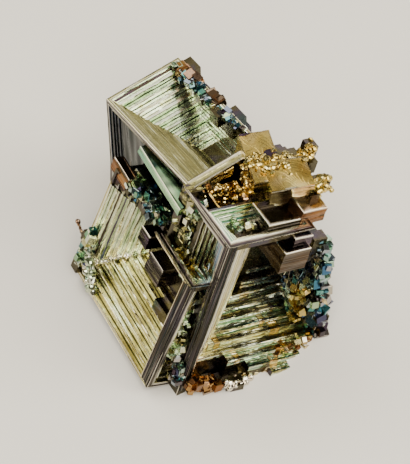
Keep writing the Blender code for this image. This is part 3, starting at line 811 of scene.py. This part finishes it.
def nodules():
    """Gold nodules on the shoulder and two stalks, beads painted as highlights, a spike with a ball, and
    amber drops.

    Each row: name, crystal, least and greatest size, film, change of film, range of painted light, and
    lines of (start, end, count, spread, seed).
    """
    table = (
        ("gold_nodules", RIGHT, 0.45, 1.2, 0.13, 0.02, (-0.3, 0.1),
         (((9.4, 11.6, 4.1), (14.4, 8.2, 4.3), 110, (0.9, 0.9, 0.25), 21),
          ((15.4, 7.8, 2.8), (17.0, 9.4, 6.1), 90, (0.5, 0.5, 0.25), 22),
          ((16.0, 5.0, 3.0), (17.3, 4.2, 4.1), 60, (0.45, 0.5, 0.4), 23))),
        # The beads along the mitre, the edge and the corner, and the broken end, carry painted light of up to
        # 2: painted highlights.
        ("mitre_highlight_beads", LEFT, 0.4, 0.8, PALE_MINT, 0.03, (1.0, 2.0),
         (((0.5, 23.1, -19.4), (5.2, 20.1, -14.7), 150, (0.12, 0.2, 0.12), 26),)),
        ("edge_highlight_beads", LEFT, 0.7, 1.3, 0.84, 0.05, (0.2, 1.6),
         (((0.0, 23.2, -14.6), (0.1, 18.6, -19.9), 80, (0.2, 0.3, 0.25), 28),)),
        ("corner_highlight_beads", LEFT, 0.7, 1.3, PALE_MINT, 0.03, (0.8, 2.0),
         (((0.3, 22.9, -16.2), (0.6, 22.2, -18.9), 60, (0.25, 0.25, 0.25), 31),)),
        ("broken_end", RIGHT, 0.5, 1.1, 0.3, 0.03, (1.0, 1.9),
         (((5.6, -2.7, -26.4), (9.0, -3.0, -26.0), 60, (0.4, 0.3, 0.25), 32),)),
        ("tip_spike", LEFT, 0.28, 0.4, COPPER, 0.05, (0.0, 0.6),
         (((-0.2, 23.7, -14.9), (-0.3, 26.4, -13.8), 40, (0.05, 0.05, 0.05), 29),)),
        ("spike_ball", LEFT, 0.6, 0.8, COPPER, 0.02, (0.2, 0.8),
         (((-0.3, 26.5, -13.8), (-0.3, 26.6, -13.7), 4, (0.05, 0.05, 0.05), 30),)),
        ("amber_drops", RIGHT, 0.4, 1.1, 0.18, 0.03, (-0.2, 0.3),
         (((3.2, 11.3, -1.9), (7.3, 11.3, -2.1), 190, (0.4, 0.15, 1.0), 27),
          ((7.7, 8.2, 0.0), (7.8, 10.4, -0.1), 30, (0.25, 0.5, 0.1), 33),
          ((9.3, 12.0, 1.8), (8.7, 9.3, 0.3), 90, (0.12, 0.6, 0.6), 34))),
    )
    rng = np.random.default_rng(24)
    pieces = []
    for k, (name, crystal, small, large, film, vary, sheen_and_shade, lines) in enumerate(table):
        centres = np.concatenate([along_line(*line) for line in lines])
        sizes = rng.uniform(small, large, len(centres))
        grain = Grain(BEAD_TILT, vary, sheen_and_shade)
        pieces.append(piece(name, [scattered(nodule(), centres, sizes, crystal, film, 25 + k, grain)]))
    return pieces


# --- oxide film -----------------------------------------------------------------------------------

FILM_STOPS = ((0.00, "#dcd9ca"), (0.07, "#cbc28b"), (0.15, "#c2aa5c"), (0.22, "#a07c3a"),
              (0.29, "#80532f"), (0.35, "#4f3c2a"), (0.43, "#3b3329"), (0.52, "#493b4a"),
              (0.59, "#39466a"), (0.66, "#41708c"), (0.75, "#4b8a82"), (0.81, "#80a077"),
              (0.87, "#b2c2a0"), (0.91, "#e8f2e2"), (0.95, "#b9b583"), (1.00, "#8d8654"))
DULL_STOPS = ((0.00, "#1d1a12"), (0.30, "#332d1e"), (0.50, "#4d4733"), (0.62, "#463f48"),
              (0.75, "#35453f"), (1.00, "#6f6440"))
# Colours of the painted light: a painted highlight near bare metal, and a painted shade near black.
PAINTED_HIGHLIGHT = "#efe8d6"
PAINTED_SHADE = "#14221f"
CLOUD_WIDTH = 4.1667 * MM                      # of a patch of one film thickness, on cooled castings
SPECK_WIDTH = 0.41667 * MM                     # of a grain, drawn coarser than real so that it shows
GRAIN_HEIGHT = 0.02 * MM
HIGHLIGHT_SHARE, SHADE_SHARE = 0.5, 0.85              # of the painted highlight at painted light 1, and of the painted shade at painted light -1


def linear(hex_colour):
    """Linear RGBA of an sRGB hex colour."""
    srgb = np.array([int(hex_colour[i:i + 2], 16) for i in (1, 3, 5)]) / 255
    rgb = np.where(srgb <= 0.04045, srgb / 12.92, ((srgb + 0.055) / 1.055) ** 2.4)
    return (*rgb, 1.0)


def add_node(tree, kind, settings=None, links=None):
    """One node with its settings and links; a link is a node or an output socket."""
    node = tree.nodes.new(kind)
    for key, value in (settings or {}).items():
        if key in node.inputs.keys() or isinstance(key, int):
            node.inputs[key].default_value = value
        else:
            setattr(node, key, value)
    for key, source in (links or {}).items():
        out = source if isinstance(source, bpy.types.NodeSocket) else source.outputs[0]
        tree.links.new(out, node.inputs[key])
    return node


def colour_ramp(tree, stops, value):
    """Colour of a value from 0 to 1 between sRGB stops."""
    ramp = add_node(tree, "ShaderNodeValToRGB", links={"Fac": value})
    elements = ramp.color_ramp.elements
    for k, (position, colour) in enumerate(stops):
        stop = elements[k] if k < 2 else elements.new(position)
        stop.position = position
        stop.color = linear(colour)
    return ramp.outputs[0]


def blended(tree, base, hex_colour, weight):
    """Colour socket moved towards one colour by a weight socket."""
    mix = add_node(tree, "ShaderNodeMix", {"data_type": "RGBA"}, {0: weight, 6: base})
    mix.inputs[7].default_value = linear(hex_colour)
    return mix.outputs[2]


def metal_film(name, stops, middle, swing, roughness, from_surface):
    """Bismuth cast as grey metal and cooled in air, under an oxide film some tens of nanometres thick.

    The film's thickness gives the colour by interference, so one ramp from bare silver through
    gold, copper, violet and blue to mint and olive holds for every face. Outer edges get a painted
    highlight towards bare metal, and the foot of each riser and shaded faces get painted shade.
    Clouds shift the film by the swing round its middle, and grains give a slight sparkle.
    """
    material = bpy.data.materials.new(name)
    material.use_nodes = True
    tree = material.node_tree
    tree.nodes.clear()
    place = add_node(tree, "ShaderNodeTexCoord").outputs["Object"]
    cloud = add_node(tree, "ShaderNodeTexNoise", {"Scale": 1 / CLOUD_WIDTH, "Detail": 3.0}, {"Vector": place})
    speck = add_node(tree, "ShaderNodeTexNoise", {"Scale": 1 / SPECK_WIDTH, "Detail": 3.0}, {"Vector": place})
    film = add_node(tree, "ShaderNodeMath", {"operation": "MULTIPLY_ADD", 1: swing, 2: middle - swing / 2},
                    {0: cloud.outputs["Fac"]})
    grain = add_node(tree, "ShaderNodeMath", {"operation": "MULTIPLY_ADD", 1: 0.05, 2: -0.025},
                     {0: speck.outputs["Fac"]})
    film = add_node(tree, "ShaderNodeMath", {"operation": "ADD"}, {0: film, 1: grain})
    if from_surface:
        own = add_node(tree, "ShaderNodeAttribute", {"attribute_name": "film"}).outputs["Fac"]
        film = add_node(tree, "ShaderNodeMath", {"operation": "ADD"}, {0: film, 1: own})
    colour = colour_ramp(tree, stops, film)
    if from_surface:
        # Painted light: above 0 blends towards the painted highlight, below 0 towards the painted shade.
        lip = add_node(tree, "ShaderNodeAttribute", {"attribute_name": "painted_light"}).outputs["Fac"]
        highlight_weight = add_node(tree, "ShaderNodeMath", {"operation": "MULTIPLY", 1: HIGHLIGHT_SHARE, "use_clamp": True},
                       {0: lip})
        dull = add_node(tree, "ShaderNodeMath", {"operation": "MULTIPLY", 1: -SHADE_SHARE, "use_clamp": True},
                        {0: lip})
        colour = blended(tree, blended(tree, colour, PAINTED_HIGHLIGHT, highlight_weight), PAINTED_SHADE, dull)
    rough_metal = add_node(tree, "ShaderNodeMath",
                           {"operation": "MULTIPLY_ADD", 1: 0.2, 2: roughness - 0.1},
                           {0: speck.outputs["Fac"]})
    bump = add_node(tree, "ShaderNodeBump", {"Strength": 0.25, "Distance": GRAIN_HEIGHT},
                    {"Height": speck.outputs["Fac"]})
    shader = add_node(tree, "ShaderNodeBsdfPrincipled", {"Metallic": 1.0},
                      {"Base Color": colour, "Roughness": rough_metal, "Normal": bump})
    add_node(tree, "ShaderNodeOutputMaterial", links={"Surface": shader})
    return material


# --- studio ---------------------------------------------------------------------------------------

FLOOR_REACH = 1.5                              # metres from the middle to each side
PALE_BOARD = "#e6e3dc"
ROOM = "#a09a8c"
ROOM_STRENGTH = 0.3
WARM = "#fff8ea"
LIGHT_DISTANCE = 0.7                           # metres
LIGHT_AIM = Vector((0, 0, 0.015))              # metres
# Name, heading from the middle, width and height in metres, and power in watts.
SOFT_LIGHTS = (
    ("left_high", (-0.49, 0.37, 0.79), (0.55, 0.50), 3.4),
    ("right_low", (0.87, -0.12, 0.49), (0.42, 0.46), 3.2),
    ("right_high", (0.54, -0.21, 0.79), (0.36, 0.36), 2.2),
    ("front_high", (0.03, -0.60, 0.80), (0.42, 0.42), 5.6),
    ("behind", (-0.02, 0.62, 0.78), (0.40, 0.24), 0.5),
    ("behind_low", (0.37, 0.81, 0.45), (0.34, 0.20), 0.7),
)
CAMERA_ELEVATION = 52.0                        # degrees
SENSOR = 36.0                                  # mm
PICTURE_LONG_SIDE = 464                        # pixels
MM_PER_PIXEL = 0.14
SCALE_DISTANCE = 0.5                           # metres from the camera at which that scale holds
FOCUS_HEIGHT = 15.3 * MM
FOCUS_BEHIND = 4.2 * MM                        # the aim lies this far beyond the scale's distance


def soft_light(name, place, size, power):
    """Area light that faces the crystal's middle."""
    data = bpy.data.lights.new(name, "AREA")
    data.shape = "RECTANGLE"
    data.size, data.size_y = size
    data.energy = power
    data.color = linear(WARM)[:3]
    light = bpy.data.objects.new(name, data)
    light.location = place
    light.rotation_euler = (LIGHT_AIM - place).to_track_quat("-Z", "Y").to_euler()
    bpy.context.scene.collection.objects.link(light)


def studio():
    """Pale plain floor, dim room, and soft lights from both sides, from the front and from behind."""
    mesh = bpy.data.meshes.new("floor")
    corners = [(x * FLOOR_REACH, y * FLOOR_REACH, 0) for x, y in ((-1, -1), (1, -1), (1, 1), (-1, 1))]
    mesh.from_pydata(corners, [], [(0, 1, 2, 3)])
    floor = bpy.data.objects.new("floor", mesh)
    bpy.context.scene.collection.objects.link(floor)
    paint = bpy.data.materials.new("pale_board")
    paint.use_nodes = True
    shader = paint.node_tree.nodes["Principled BSDF"]
    shader.inputs["Base Color"].default_value = linear(PALE_BOARD)
    shader.inputs["Roughness"].default_value = 0.6
    mesh.materials.append(paint)
    world = bpy.data.worlds.new("room")
    world.use_nodes = True
    world.node_tree.nodes["Background"].inputs["Color"].default_value = linear(ROOM)
    world.node_tree.nodes["Background"].inputs["Strength"].default_value = ROOM_STRENGTH
    bpy.context.scene.world = world
    for name, heading, size, power in SOFT_LIGHTS:
        soft_light(name, Vector(heading).normalized() * LIGHT_DISTANCE, size, power)


def aim_camera():
    """Long lens from the front, looking down at the crystal's middle."""
    e = math.radians(CAMERA_ELEVATION)
    right, up = Vector((1, 0, 0)), Vector((0, math.sin(e), math.cos(e)))
    toward = Vector((0, -math.cos(e), math.sin(e)))
    aim = Vector((0, 0, FOCUS_HEIGHT)) - Vector(CENTRE) * MM
    data = bpy.data.cameras.new("camera")
    data.sensor_width = SENSOR
    data.lens = SENSOR * SCALE_DISTANCE / (PICTURE_LONG_SIDE * MM_PER_PIXEL * MM)
    data.clip_start, data.clip_end = 0.01, 20.0
    camera = bpy.data.objects.new("camera", data)
    pose = Matrix((right, up, toward)).transposed().to_4x4()
    pose.translation = aim + toward * (SCALE_DISTANCE + FOCUS_BEHIND)
    camera.matrix_world = pose
    bpy.context.scene.collection.objects.link(camera)
    bpy.context.scene.camera = camera


def main():
    """Skins over the solid, then film, floor, lights and camera."""
    film = metal_film("oxide_film_on_bismuth", FILM_STOPS, middle=0.0, swing=0.1, roughness=0.2,
                      from_surface=True)
    dull = metal_film("dull_film_on_solid", DULL_STOPS, middle=0.5, swing=1.0, roughness=0.26,
                      from_surface=False)
    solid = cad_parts["bismuth_crystal"].data
    solid.materials.clear()
    solid.materials.append(dull)
    for item in (large_funnels() + shallow_faces() + front_ledges() + panels() + clad_blocks()
                 + crystallites() + nodules()):
        item.data.materials.append(film)
        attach(item, "root")
    studio()
    aim_camera()


main()
